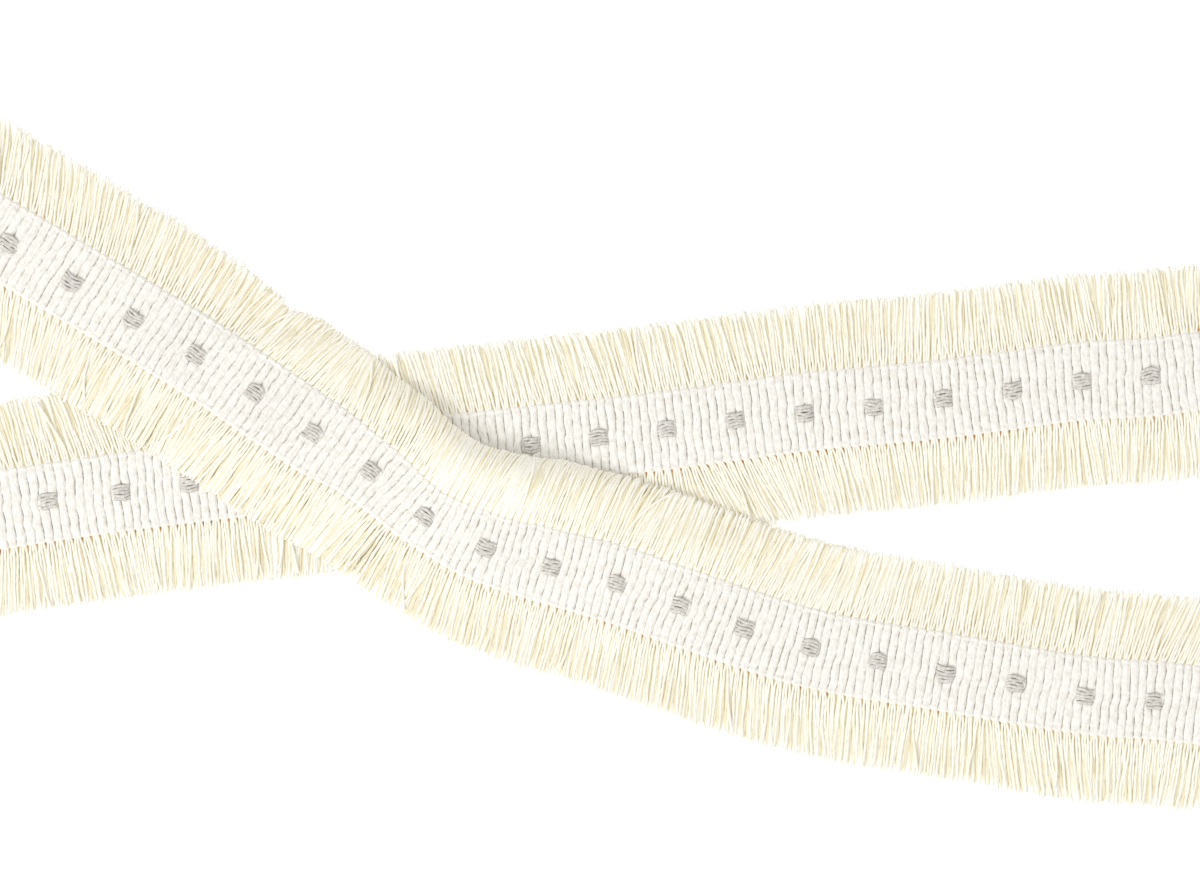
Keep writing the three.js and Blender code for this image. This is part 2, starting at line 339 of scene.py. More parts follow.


# Plies that wind round a yarn. Thread holds the length along it, and the cosine and sine round it. The valley
# output marks the grooves between the plies, where painted shade goes.
def makePlyGroup():
    group = makeGroup("plied_yarn", [
        ("Thread", "NodeSocketVector", None),
        ("Turn Length", "NodeSocketFloat", 0.002),
        ("Fibre Size", "NodeSocketFloat", 0.0003),
        ("Fibre Share", "NodeSocketFloat", 0.4),
    ], [("Height", "NodeSocketFloat"), ("Valley Shade", "NodeSocketFloat")])
    source = addNode(group, "NodeGroupInput").outputs
    parts = addNode(group, "ShaderNodeSeparateXYZ", {0: source["Thread"]}).outputs
    turns = mathNode(group, "DIVIDE", parts[0], source["Turn Length"])
    angle = mathNode(group, "MULTIPLY", turns, 2 * math.pi)
    leading = mathNode(group, "MULTIPLY", mathNode(group, "SINE", angle), parts[1])
    wave = mathNode(group, "MULTIPLY_ADD", mathNode(group, "COSINE", angle), parts[2], leading)
    ply = mathNode(group, "MULTIPLY_ADD", wave, 0.5, 0.5)
    scale = mathNode(group, "DIVIDE", 1.0, source["Fibre Size"])
    coordinates = addNode(group, "ShaderNodeTexCoord").outputs["Object"]
    fibres = addNode(group, "ShaderNodeTexNoise", {
        "Vector": coordinates, "Scale": scale, "Detail": grain["fibreDetail"]})
    height = addNode(group, "ShaderNodeMix", {0: source["Fibre Share"], 2: ply, 3: fibres.outputs[0]})
    out = addNode(group, "NodeGroupOutput")
    group.links.new(height.outputs[0], out.inputs["Height"])
    group.links.new(remap(group, ply, grain["valleyFrom"], 0.0), out.inputs["Valley Shade"])
    return group


# Soft patches where the yarn took the light or the dye a little differently.
def makePatchGroup():
    group = makeGroup("uneven_tone", [
        ("Patch Size", "NodeSocketFloat", 0.004),
        ("Contrast", "NodeSocketFloat", 0.5),
    ], [("Mask", "NodeSocketFloat")])
    source = addNode(group, "NodeGroupInput").outputs
    coordinates = addNode(group, "ShaderNodeTexCoord").outputs["Object"]
    scale = mathNode(group, "DIVIDE", 1.0, source["Patch Size"])
    noise = addNode(group, "ShaderNodeTexNoise", {
        "Vector": coordinates, "Scale": scale, "Detail": grain["patchDetail"]})
    half = mathNode(group, "MULTIPLY", source["Contrast"], 0.5)
    low, high = mathNode(group, "SUBTRACT", 0.5, half), mathNode(group, "ADD", 0.5, half)
    span = mathNode(group, "SUBTRACT", high, low)
    part = mathNode(group, "DIVIDE", mathNode(group, "SUBTRACT", noise.outputs[0], low), span)
    clamped = addNode(group, "ShaderNodeClamp", {0: part})
    out = addNode(group, "NodeGroupOutput")
    group.links.new(clamped.outputs[0], out.inputs["Mask"])
    return group


plyGroup = makePlyGroup()
patchGroup = makePatchGroup()


def startMaterial(name, look):
    material = bpy.data.materials.new(name)
    material.use_nodes = True
    shader = material.node_tree.nodes["Principled BSDF"]
    shader.inputs["Roughness"].default_value = look["roughness"]
    shader.inputs["Specular IOR Level"].default_value = look["specular"]
    return material, material.node_tree, shader


def placeGroup(tree, group, values):
    return addNode(tree, "ShaderNodeGroup", values, node_tree=group).outputs


def markValue(tree, name):
    return addNode(tree, "ShaderNodeAttribute", attribute_name=name).outputs


def placePlies(tree, look):
    return placeGroup(tree, plyGroup, {"Thread": markValue(tree, "thread")["Vector"], **look["plies"]})


def placePatches(tree, look):
    return placeGroup(tree, patchGroup, look["patches"])["Mask"]


def bumpFrom(tree, shader, height, look):
    bump = addNode(tree, "ShaderNodeBump", {
        "Height": height, "Strength": look["bumpStrength"], "Distance": look["bumpDepth"]})
    tree.links.new(bump.outputs[0], shader.inputs["Normal"])


fringeFinish = {
    "cream": (0.955, 0.935, 0.845, 1),
    "pale": (0.97, 0.96, 0.92, 1),
    "side": (0.86, 0.797, 0.58, 1),       # the painted shade on a strand's flanks and underside
    # tan and the deep orange-brown below it are painted shade: at the roots, on the hidden strands and in the
    # gaps between the roots
    "tan": (0.84, 0.768, 0.545, 1),
    "deepRootShade": (0.60, 0.26, 0.10, 1),
    # painted shade in the grooves between the plies
    "valleyShade": (0.91, 0.85, 0.66, 1),
    "valleyShadeShare": 0.3,
    "patchShare": 0.4,            # how much the patches add to a strand's own tone
    "toneRange": (0.2, 1.2),      # from cream to pale
    "flankShadeRange": (0.48, 0.92),   # from the painted flank shade to the unshaded crest
    "tanRange": (0.0, 0.5),       # the painted root shade turns tan, and then deep orange-brown
    "deepShadeRange": (0.5, 1.0),
    "roughness": 0.85,
    "specular": 0.15,
    "plies": {"Turn Length": 0.0021, "Fibre Size": 0.0004, "Fibre Share": 0.45},
    "patches": {"Patch Size": 0.006, "Contrast": 0.45},
    "bumpStrength": 0.6,
    "bumpDepth": 0.00012,
    "glow": 0.05,                 # a painted glow that lifts the shade between the yarns
}


def makeFringeMaterial():
    look = fringeFinish
    material, tree, shader = startMaterial("fringe_yarn", look)
    ply = placePlies(tree, look)
    tone = mathNode(tree, "MULTIPLY_ADD", placePatches(tree, look), look["patchShare"],
                    markValue(tree, "tone")["Fac"])
    colour = mixColour(tree, remap(tree, tone, *look["toneRange"]), look["cream"], look["pale"])
    # painted shade in the grooves between the plies
    valleyShade = mathNode(tree, "MULTIPLY", ply["Valley Shade"], look["valleyShadeShare"])
    colour = mixColour(tree, valleyShade, colour, look["valleyShade"])
    # crest is high where a strand faces up; its flanks and underside get painted shade
    crest = remap(tree, markValue(tree, "crest")["Fac"], *look["flankShadeRange"])
    colour = mixColour(tree, crest, look["side"], colour)
    # rootShade paints shade: tan at the roots and on the hidden strands, then deep orange-brown in the gaps
    # between the roots
    shade = markValue(tree, "rootShade")["Fac"]
    colour = mixColour(tree, remap(tree, shade, *look["tanRange"]), colour, look["tan"])
    colour = mixColour(tree, remap(tree, shade, *look["deepShadeRange"]), colour, look["deepRootShade"])
    tree.links.new(colour, shader.inputs["Base Color"])
    # the yarn's colour also glows, a painted light that lifts its shade
    tree.links.new(colour, shader.inputs["Emission Color"])
    shader.inputs["Emission Strength"].default_value = look["glow"]
    bumpFrom(tree, shader, ply["Height"], look)
    return material


edgeFinish = {
    "white": (0.95, 0.945, 0.915, 1),
    # shade is both the patches' uneven tone and painted shade in the grooves between the plies
    "shade": (0.85, 0.81, 0.72, 1),
    "patchShare": 0.25,
    "valleyShadeShare": 0.4,
    "roughness": 0.85,
    "specular": 0.15,
    "plies": {"Turn Length": 0.0014, "Fibre Size": 0.0004, "Fibre Share": 0.4},
    "patches": {"Patch Size": 0.003, "Contrast": 0.5},
    "bumpStrength": 0.5,
    "bumpDepth": 0.00012,
}


def makeEdgeMaterial():
    look = edgeFinish
    material, tree, shader = startMaterial("woven_edge", look)
    ply = placePlies(tree, look)
    patches = placePatches(tree, look)
    # painted shade in the grooves between the plies, with the patches' uneven tone
    valleyShade = mathNode(tree, "MULTIPLY", ply["Valley Shade"], look["valleyShadeShare"])
    share = mathNode(tree, "MULTIPLY_ADD", patches, look["patchShare"], valleyShade)
    colour = mixColour(tree, share, look["white"], look["shade"])
    tree.links.new(colour, shader.inputs["Base Color"])
    bumpFrom(tree, shader, ply["Height"], look)
    return material


bandFinish = {
    "white": (0.975, 0.968, 0.94, 1),
    "soft": (0.87, 0.837, 0.78, 1),
    # painted shade in the grooves between the ribs
    "groove": (0.50, 0.46, 0.40, 1),
    "roughness": 0.9,
    "specular": 0.12,
    "streaksPerRib": 3.6,         # the soft strands that lie side by side in a rib
    "streakLength": 0.0018,
    "streakRange": (0.38, 0.64),  # levels of the noise between which a streak comes up
    "twistPitch": 0.0012,         # from one slanting mark to the next along a rib
    "twistSlant": 0.8,            # how far a mark climbs across a rib, in pitches
    "twistWaver": 1.2,            # how far the lumps push the marks along
    "lineWidth": 0.15,            # how far a groove's shade reaches into a rib, in ribs
    "lineWaver": 0.05,
    "lumpPitch": 0.0011,          # the small lumps along each rib
    "lumpStep": 3.7,              # how far the noise moves on from rib to rib
    "lumpRange": (0.36, 0.62),
    "dashPitch": 0.0009,          # the short dashes in which a groove shows
    "dashStep": 5.3,
    "dashRange": (0.36, 0.56),
    "dashShade": (0.25, 1.0),     # a groove's shade between the dashes and in them
    "detail": {"streaks": 2.0, "lumps": 1.0, "dashes": 0.0},
    "patches": {"Patch Size": 0.0009, "Contrast": 0.4},
    "softShares": {"patches": 0.3, "lumps": -0.3, "twist": -0.1},     # what makes a place less white: the patches' uneven tone, and painted shade in the dips between the lumps and twist marks
    "softRange": (0.0, 1.3),
    "reliefShares": {"streaks": -0.6, "lumps": 0.15, "twist": 0.15},
    "fuzz": {"Scale": 2400.0, "Detail": 2.0},
    "bumpStrength": 0.6,
    "bumpDepth": 0.0001,
}


# Noise over the cloth that runs rib by rib with x, and along the ribs in steps of the pitch.
def clothNoise(tree, x, y, pitch, detail):
    spot = addNode(tree, "ShaderNodeCombineXYZ", {0: x, 1: mathNode(tree, "DIVIDE", y, pitch)})
    values = {"Vector": spot.outputs[0], "Scale": 1.0, "Detail": detail}
    return addNode(tree, "ShaderNodeTexNoise", values).outputs[0]


# A value with shares of others added to it.
def addShares(tree, value, shares, others):
    for name, share in shares.items():
        value = mathNode(tree, "MULTIPLY_ADD", others[name], share, value)
    return value


# weave holds the place along the band in ribs, the place across it in metres, and how open the nearest
# groove is. Grooves lie at whole numbers of ribs.
def makeBandMaterial():
    look = bandFinish
    material, tree, shader = startMaterial("ribbed_cloth", look)
    weave = addNode(tree, "ShaderNodeSeparateXYZ", {0: markValue(tree, "weave")["Vector"]}).outputs
    away = mathNode(tree, "PINGPONG", weave[0], 0.5)
    ribPlace = mathNode(tree, "MULTIPLY", mathNode(tree, "FLOOR", weave[0]), look["lumpStep"])
    lumpNoise = clothNoise(tree, ribPlace, weave[1], look["lumpPitch"], look["detail"]["lumps"])
    lumps = remap(tree, lumpNoise, *look["lumpRange"])
    line = mathNode(tree, "MULTIPLY_ADD", lumps, look["lineWaver"], away)
    line = remap(tree, line, look["lineWidth"], 0.0)
    groovePlace = mathNode(tree, "MULTIPLY", mathNode(tree, "ROUND", weave[0]), look["dashStep"])
    dashNoise = clothNoise(tree, groovePlace, weave[1], look["dashPitch"], look["detail"]["dashes"])
    dash = remap(tree, dashNoise, *look["dashRange"], *look["dashShade"])
    # painted shade along the grooves, in dashes, where the ribs part
    grooveShade = mathNode(tree, "MULTIPLY", mathNode(tree, "MULTIPLY", line, dash), weave[2])
    streakPlace = mathNode(tree, "MULTIPLY", weave[0], look["streaksPerRib"])
    streakNoise = clothNoise(tree, streakPlace, weave[1], look["streakLength"], look["detail"]["streaks"])
    streaks = remap(tree, streakNoise, *look["streakRange"])
    climb = mathNode(tree, "MULTIPLY", mathNode(tree, "FRACT", weave[0]), look["twistSlant"])
    climb = mathNode(tree, "MULTIPLY_ADD", lumpNoise, look["twistWaver"], climb)
    climb = mathNode(tree, "MULTIPLY_ADD", weave[1], 1 / look["twistPitch"], climb)
    twist = mathNode(tree, "SINE", mathNode(tree, "MULTIPLY", climb, 2 * math.pi))
    parts = {"patches": placePatches(tree, look), "lumps": lumps, "twist": twist, "streaks": streaks}
    # soft: the streaks darken where they sink the surface, the patches add uneven tone, and the lumps and
    # twist marks add painted shade in their dips
    soft = addShares(tree, streaks, look["softShares"], parts)
    colour = mixColour(tree, remap(tree, soft, *look["softRange"]), look["white"], look["soft"])
    colour = mixColour(tree, grooveShade, colour, look["groove"])
    tree.links.new(colour, shader.inputs["Base Color"])
    coordinates = addNode(tree, "ShaderNodeTexCoord").outputs["Object"]
    fuzz = addNode(tree, "ShaderNodeTexNoise", {"Vector": coordinates, **look["fuzz"]}).outputs[0]
    bumpFrom(tree, shader, addShares(tree, fuzz, look["reliefShares"], parts), look)
    return material


dotFinish = {
    "grey": (0.60, 0.575, 0.545, 1),
    "pale": (0.86, 0.835, 0.80, 1),
    # the next two colours are painted shade: in the grooves between the plies, and on the floats' flanks and
    # undersides between them
    "valleyShade": (0.33, 0.31, 0.285, 1),
    "flankShade": (0.20, 0.19, 0.17, 1),
    "valleyShadeShare": 0.25,
    "flankShadeRange": (0.4, 0.82),    # from the painted shade on a float's flanks to its unshaded crest
    "roughness": 0.8,
    "specular": 0.2,
    "plies": {"Turn Length": 0.0011, "Fibre Size": 0.0003, "Fibre Share": 0.4},
    "patches": {"Patch Size": 0.0012, "Contrast": 0.5},
    "bumpStrength": 0.6,
    "bumpDepth": 0.0001,
}


def makeDotMaterial():
    look = dotFinish
    material, tree, shader = startMaterial("dot_yarn", look)
    ply = placePlies(tree, look)
    colour = mixColour(tree, placePatches(tree, look), look["grey"], look["pale"])
    # painted shade in the grooves between the plies
    valleyShade = mathNode(tree, "MULTIPLY", ply["Valley Shade"], look["valleyShadeShare"])
    colour = mixColour(tree, valleyShade, colour, look["valleyShade"])
    # crest is high where a float faces up; its flanks and underside get painted shade
    crest = remap(tree, markValue(tree, "crest")["Fac"], *look["flankShadeRange"])
    colour = mixColour(tree, crest, look["flankShade"], colour)
    tree.links.new(colour, shader.inputs["Base Color"])
    bumpFrom(tree, shader, ply["Height"], look)
    return material


fringeMaterial = makeFringeMaterial()
edgeMaterial = makeEdgeMaterial()
bandMaterial = makeBandMaterial()
dotMaterial = makeDotMaterial()

print("weaving the band")
bandLook = {
    "phases": (0.0, 0.07, 0.2, 0.4, 0.6, 0.8, 0.93),     # sections along one rib
    "edgeInset": 0.00040,         # from the band's edge to where the cloth turns down over the cord
    "edgeSwell": 0.00042,         # how far each rib's end pushes out
    "swellShape": 0.6,            # how square each swell is, squarer towards 0
    "ribShape": (4, 0.55),        # how flat a rib's top is, and how steep its sides
    "middlePoints": 21,
    "endShares": (0.86, 0.89, 0.92, 0.96, 0.985, 1.0),      # points near each end of a rib, as shares
    "endRound": 0.0006,
    "endDrop": 0.00034,
    "endSteep": 0.98,             # how nearly the turned-down end stands upright
    "rimDip": (0.00002, 0.00017),        # the shallow line between the ribs and the rim, rib by rib
    "rimPlace": (0.00095, 0.00022),
    "grooveFade": (0.0002, 0.0009),      # the grooves close towards the ribs' ends
    "rimGroove": 0.55,            # how much of a groove is left there, between the rim's beads
    "underPoints": 5,
    "underRelief": 0.00018,
    "wanderNodes": 9,             # places across a groove where it may wander
    "wander": 0.00015,
    "ownWander": 0.6,             # the share of it that a groove doesn't have from its neighbours
    "wanderPasses": 3,
    "kink": 0.00016,              # the step that grooves take beside the row of dots
    "kinkPlace": -0.0012,
    "kinkWidth": 0.0005,
    "dotPush": 0.00014,           # the grooves at a dot's two ends give way to it
    "dotPushReach": (0.0009, 0.0022),    # how far that reaches, along the band and across it
    "dotPushShape": 4,
    "dashShare": (0.3, 0.85),     # how deep a groove is where two ribs touch, and where they part
    "dashRange": (0.34, 0.6),
    "lump": 0.00006,
    "lumpPitch": 0.00135,
}


def ribProfile(phase):
    flatness, steepness = bandLook["ribShape"]
    return (1 - np.abs(2 * phase - 1) ** flatness) ** steepness


# How far each groove strays along the band, at even places across it.
def grooveWander():
    look = bandLook
    own = random.normal(0, 1, (ribCount + 1, look["wanderNodes"]))
    shared = random.normal(0, 1, (ribCount + 1, look["wanderNodes"]))
    for smoothing in range(look["wanderPasses"]):
        shared = (np.roll(shared, 1, 0) + 2 * shared + np.roll(shared, -1, 0)) / 4
    return look["wander"] * (look["ownWander"] * own + shared)


# How far two ribs part along each groove, from touching to open, in short dashes.
def grooveDashes(points):
    rough = random.uniform(0, 1, (ribCount + 1, points))
    soft = (np.roll(rough, 1, 1) + 2 * rough + np.roll(rough, -1, 1)) / 4
    low, high = bandLook["dashShare"]
    return low + (high - low) * smoothstep(soft, *bandLook["dashRange"])


# How far each point of the cloth strays along the band, with the grooves that it lies between.
def clothShift(at, rib, phase, across, spread):
    look = bandLook
    wander = grooveWander()
    nodeSpots = (spread + 1) / 2 * (look["wanderNodes"] - 1)
    low = np.minimum(nodeSpots.astype(int), look["wanderNodes"] - 2)
    part = smoothstep(nodeSpots - low, 0, 1)
    strays = wander[:, low] * (1 - part) + wander[:, low + 1] * part
    shift = strays[rib] * (1 - phase) + strays[rib + 1] * phase
    shift += look["kink"] * np.tanh((across - look["kinkPlace"]) / look["kinkWidth"])
    dots = (cutStart + at * ribLength) / route["dotPitch"]
    toDot = (dots - np.round(dots))[:, None] * route["dotPitch"]
    pushAlong, pushAcross = look["dotPushReach"]
    push = np.exp(-((np.abs(toDot) - bandSizes["ribPitch"]) / pushAlong) ** 2)
    push = push * np.exp(-(across / pushAcross) ** look["dotPushShape"])
    shift += look["dotPush"] * np.sign(toDot) * push
    betweenCuts = (at > 0.5) & (at < ribCount - 0.5)
    return shift * betweenCuts[:, None]


# The height of the cloth's top, and how open the nearest groove is.
def clothHeight(rib, phase, across, fromEnd):
    look = bandLook
    starts = random.uniform(*anyPhase, ribCount)[rib][:, None]
    lumps = np.sin(across * 2 * math.pi / look["lumpPitch"] + starts)
    profile = ribProfile(phase)
    opening = look["rimGroove"] + (1 - look["rimGroove"]) * smoothstep(fromEnd, *look["grooveFade"])
    dash = grooveDashes(across.shape[1])[rib + (phase[:, 0] > 0.5)] * opening
    height = bandSizes["crest"] - (bandSizes["crest"] - bandSizes["groove"]) * (1 - profile) * dash
    height = height + look["lump"] * lumps * profile
    rimDip = random.uniform(*look["rimDip"], ribCount)[rib][:, None] * profile
    rimPlace, rimWidth = look["rimPlace"]
    height = height - rimDip * np.exp(-((fromEnd - rimPlace) / rimWidth) ** 2)
    rounding = np.clip(1 - fromEnd / look["endRound"], 0, 1)
    height = height - look["endDrop"] * (1 - np.sqrt(1 - look["endSteep"] * rounding ** 2))
    return height, dash


def makeBand():
    look = bandLook
    at = np.append((np.arange(ribCount)[:, None] + np.array(look["phases"])).ravel(), ribCount)
    rib = np.minimum(at.astype(int), ribCount - 1)
    phase = (at - rib)[:, None]
    distance = cutStart + at * ribLength
    swell = np.abs(np.sin(math.pi * at)) ** look["swellShape"]
    edge = (halfBandAt(distance) - look["edgeInset"] + look["edgeSwell"] * swell)[:, None]
    ends = np.array(look["endShares"])
    middle = np.linspace(-ends[0], ends[0], look["middlePoints"])
    spread = np.concatenate([-ends[:0:-1], middle, ends[1:]])
    across = edge * spread
    shift = clothShift(at, rib, phase, across, spread)
    height, dash = clothHeight(rib, phase, across, edge - np.abs(across))
    top = place(distance[:, None] + shift, across, height)
    underAcross = edge * np.linspace(1, -1, look["underPoints"])
    under = place(distance[:, None], underAcross, look["underRelief"] * (1 - ribProfile(phase)))
    rings = np.concatenate([top, under], axis=1)
    weave = np.zeros(rings.shape)
    weave[..., 0] = at[:, None]
    weave[..., 1] = np.concatenate([across, underAcross], axis=1)
    weave[:, :len(spread), 2] = dash
    onRib = [[0.5, 0, 0]] * 2     # the middles of the two cut ends
    marks = {"weave": ("FLOAT_VECTOR", np.vstack([weave.reshape(-1, 3), onRib]))}
    return makePiece("band_cloth", *closedForm(rings), [bandMaterial], marks)


band = makeBand()
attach(band, "root")
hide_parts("band")

print("growing the fringe")
# Forward lean of the fringe in degrees, by place along the trim in dots.
fringeLean = {
    "inner": [
        (0.46, -22), (1.81, -20), (2.78, -8), (3.75, 0), (4.45, 8), (5.16, 12), (5.80, 8), (6.31, -10),
        (7.17, -14), (7.89, -12), (8.32, 0), (8.90, 20), (9.80, 8), (10.98, 10), (12.02, 2), (13.2, 12),
        (13.92, 14), (15.1, 8), (16.1, 2), (16.97, 0), (17.94, 8), (18.94, 18), (19.66, 22), (21.5, 4),
        (23.0, -5), (25.0, 4), (27.0, -3), (28.36, 5), (29.14, 3), (29.71, -5), (30.64, 8), (31.5, 6),
        (32.28, 0), (33.21, -8), (33.72, -12), (34.22, -8), (34.74, -20), (35.54, -20), (36.05, 3),
        (38.0, 0), (41.44, 8), (42.16, 0), (42.88, 2), (43.46, 3), (44.17, -5), (44.86, -5), (45.55, 8),
    ],
    "outer": [
        (0.46, 27), (1.54, 20), (2.22, 12), (2.92, 2), (3.61, -2), (4.31, 6), (4.73, -8), (5.59, 0),
        (6.60, 0), (7.03, -8), (7.75, 5), (9.50, 3), (10.39, -2), (10.98, 8), (12.46, 14), (13.92, 12),
        (15.38, 3), (16.25, 6), (17.24, 18), (17.94, 10), (18.66, -2), (19.66, -2), (21.5, 6), (23.5, -4),
        (25.5, 5), (27.3, -2), (28.40, -3), (29.15, 0), (29.86, 3), (30.57, 2), (31.28, -2), (32.0, -8),
        (33.0, -3), (33.9, 0), (34.88, 6), (35.76, 5), (36.33, 8), (37.04, 14), (37.79, 8), (38.52, 7),
        (39.25, 10), (39.79, 12), (44.17, 12), (44.59, 10), (45.55, 8),
    ],
}
# The fringe's reach as a share of its full length, by place along the trim in dots.
fringeReach = {
    "inner": [(1.0, 0.98), (3.15, 0.98), (3.89, 0.92), (4.4, 0.86), (4.6, 0.74), (4.8, 0.84), (5.06, 0.89),
              (5.87, 0.88), (6.65, 0.88), (7.16, 0.86), (7.55, 0.83), (7.95, 0.88), (8.35, 0.89),
              (8.76, 0.95), (9.17, 0.97), (9.57, 1.0)],
    "outer": [(7.0, 1.0), (7.2, 0.99), (8.0, 0.94), (8.9, 0.97), (9.9, 1.0)],
}
# Places where some strands lie crosswise over the others: side, from dot, to dot, share, added lean.
tangles = [
    ("inner", 3.9, 4.6, 0.09, 17), ("inner", 4.6, 5.0, 0.08, -15), ("inner", 5.7, 6.2, 0.06, -14),
    ("inner", 9.3, 9.9, 0.07, -18), ("inner", 10.1, 10.8, 0.06, 16), ("inner", 10.8, 11.8, 0.07, 17),
    ("outer", 2.1, 2.8, 0.10, 13), ("outer", 4.4, 4.9, 0.10, -13),
]
fringeLook = {
    "length": 0.0156,
    "rootHeight": 0.00124,
    "lowRoots": 0.00048,          # how much lower the hidden strands start
    "rootInset": 0.0004,          # how far inside the edge a strand starts
    "rootStray": 0.00004,
    "rootSpacing": (0.00032, 0.00048),   # between the strands of one rib where they leave the edge
    "fanOut": 0.13,               # the share of the length in which a rib's strands even out
    "layer": 0.00048,             # how much higher a strand lies that rests on another
    "bowSweep": 1.06 * math.pi,
    "fullBow": 0.0022,            # where the inner fringe is arched this high, its tips roll over
    "rollCalm": 0.6,              # how much less the strands lean, curl and sink there
    "rollEven": 0.9,              # how much less they gather into clumps
    "rollTrim": 0.5,              # how much less their tips differ
    "tipDrop": 0.0005,
    "settleBy": 0.6,              # the share of the length by which a strand lies on the surface
    "droop": (0.0007, 0.0006),    # how far tips sink where the trim rides over itself, at least and added
    "droopRise": (0.0002, 0.0015),       # the rise over which the first of these comes in
    "droopFrom": 0.45,
    "hiddenDroop": 0.4,           # how much further the hidden strands' tips sink there
    "settleBack": 0.9,            # how much of the raised edge's height the tips lose again
    "plyTurn": 0.0042,
    "plyRelief": 0.13,
    "tipTaper": (0.93, 0.55),     # from which share of the length a tip narrows, and by how much
    "rootTaper": (0.3, 0.12),
    "tipRound": 0.4,              # how far the cut end stands out, in radiuses
    "rootDark": (0.16, 0.32),     # how far the shade at the roots reaches along a strand, and how strong
    "tipShadeFade": 0.8,              # from which share of the length the painted flank shade fades out towards the tip
    "clumpSizes": (2, 7),
    "clumpPull": (0.0, 0.32),
    "clumpLean": 1.6,             # in degrees
    "strandLean": 1.0,
    "leanGrowth": 1.08,           # how a lean, a stray and a clump's pull grow towards the tip
    "strayGrowth": 2.0,
    "pullGrowth": 1.5,
    "strayLean": (4, 12),         # in degrees
    "tangleLean": (0.7, 1.2),     # shares of the tangle's own lean
    "strayLayer": (1.5, 2.1),     # how high strays lie over the others, in layers
    "strayReach": (0.85, 1.0),
    "curl": 0.00022,
    "curlTurns": (3.2, 8.5),      # the slow and the quick part of a curl
    "quickCurl": 0.4,
    "crimp": 0.00008,
    "crimpPitch": 0.0085,
    "crimpSpread": (0.8, 1.3),
    "crimpStart": 0.15,
    "waver": 0.00012,             # how far a strand rises and falls on its way
    "waverTurns": 5,
    "tipUnevenness": 0.014,
    "hiddenShorter": 0.035,
    "locksInStretch": (21, 20, 20, 12, 12, 54),      # how the CAD pieces divide each side
}


# The strands that show, and those that lie below them and fill the gaps, which are painted in tan shade.
# crossStrands are the extra ones that crowd together where the trim rides over itself; they too are painted
# in tan shade.
topStrands = {"perRib": 3, "radius": 0.00035, "steps": 15, "sides": 6, "strayShare": 0.02, "low": 0.0,
              "depth": 0.0, "gather": 1.0, "leastLift": -1}
underStrands = {"perRib": 3, "radius": 0.00039, "steps": 7, "sides": 5, "strayShare": 0.0, "low": 1.0,
                "depth": 0.3, "gather": 0.0, "leastLift": -1}
crossStrands = {"perRib": 3, "radius": 0.00038, "steps": 11, "sides": 5, "strayShare": 0.0, "low": 0.45,
                "depth": 0.3, "gather": 0.0, "leastLift": 0.0007}


def tableAt(table, dots):
    spots, values = np.array(table, float).T
    return np.interp(dots, spots, values)


# The clump that each strand belongs to, as an index.
def clumpsOf(count):
    sizes = random.integers(*fringeLook["clumpSizes"], count)
    return np.repeat(np.arange(count), sizes)[:count]


# Where the strands of one side leave the edge, and where they would if all lay evenly.
def strandRoots(kind):
    look = fringeLook
    per = kind["perRib"]
    rib = np.repeat(np.arange(ribCount), per)
    slot = np.tile(np.arange(per) - (per - 1) / 2, ribCount)
    spacing = random.uniform(*look["rootSpacing"], ribCount)[rib] * kind["gather"]
    spacing = spacing + ribLength / per * (1 - kind["gather"])
    ribMiddle = cutStart + (rib + 0.5) * ribLength
    root = ribMiddle + slot * spacing + random.normal(0, look["rootStray"], len(rib))
    return root, ribMiddle + slot * ribLength / per


# Which strands lie across the others, and how far each leans for it in degrees.
def strayStrands(word, kind, dots):
    look = fringeLook
    count = len(dots)
    stray = random.random(count) < kind["strayShare"]
    straying = np.where(stray, random.choice([-1, 1], count) * random.uniform(*look["strayLean"], count), 0)
    for where, first, last, share, added in tangles:
        if where == word and kind["strayShare"] > 0:
            chosen = (dots > first) & (dots < last) & (random.random(count) < share)
            straying = np.where(chosen, added * random.uniform(*look["tangleLean"], count), straying)
            stray = stray | chosen
    return stray, straying


# How each strand of one side grows: its root, leans, reach and place among the others.
def strandPlan(word, side, kind):
    look = fringeLook
    root, even = strandRoots(kind)
    count = len(root)
    dots = root / route["dotPitch"]
    clump = clumpsOf(count)
    clumpMiddle = np.array([even[clump == i].mean() for i in range(clump[-1] + 1)])[clump]
    bow = columnAt("bow", root) if side > 0 else np.zeros(count)
    roll = smoothstep(bow, 0, look["fullBow"])
    calm = 1 - look["rollCalm"] * roll
    clumpLean = random.normal(0, look["clumpLean"], clump[-1] + 1)[clump]
    lean = tableAt(fringeLean[word], dots) + clumpLean * kind["gather"] * calm
    lean = lean + random.normal(0, look["strandLean"], count) * calm
    pull = random.uniform(*look["clumpPull"], clump[-1] + 1)[clump]
    pull = pull * (1 - look["rollEven"] * roll) * kind["gather"]
    everyOther = 0.5 * (np.arange(count) % 2)       # neighbours lie half a layer apart
    layer = look["layer"] * (everyOther + random.uniform(0, 0.5, count)) * (1 - kind["low"])
    stray, straying = strayStrands(word, kind, dots)
    layer = np.where(stray, look["layer"] * random.uniform(*look["strayLayer"], count), layer)
    reach = look["length"] * tableAt(fringeReach[word], dots)
    unevenness = look["tipUnevenness"] * random.normal(0, 1, count) * (1 - look["rollTrim"] * roll)
    reach = reach * (1 + unevenness)
    reach = reach * (1 - look["hiddenShorter"] * kind["low"])
    reach = reach * np.where(stray, random.uniform(*look["strayReach"], count), 1)
    towards = (clumpMiddle - even) * np.where(stray, 0, pull)
    return {"root": root, "even": even, "bow": bow, "roll": roll, "calm": calm, "lean": lean,
            "straying": straying, "towards": towards, "layer": layer, "reach": reach}


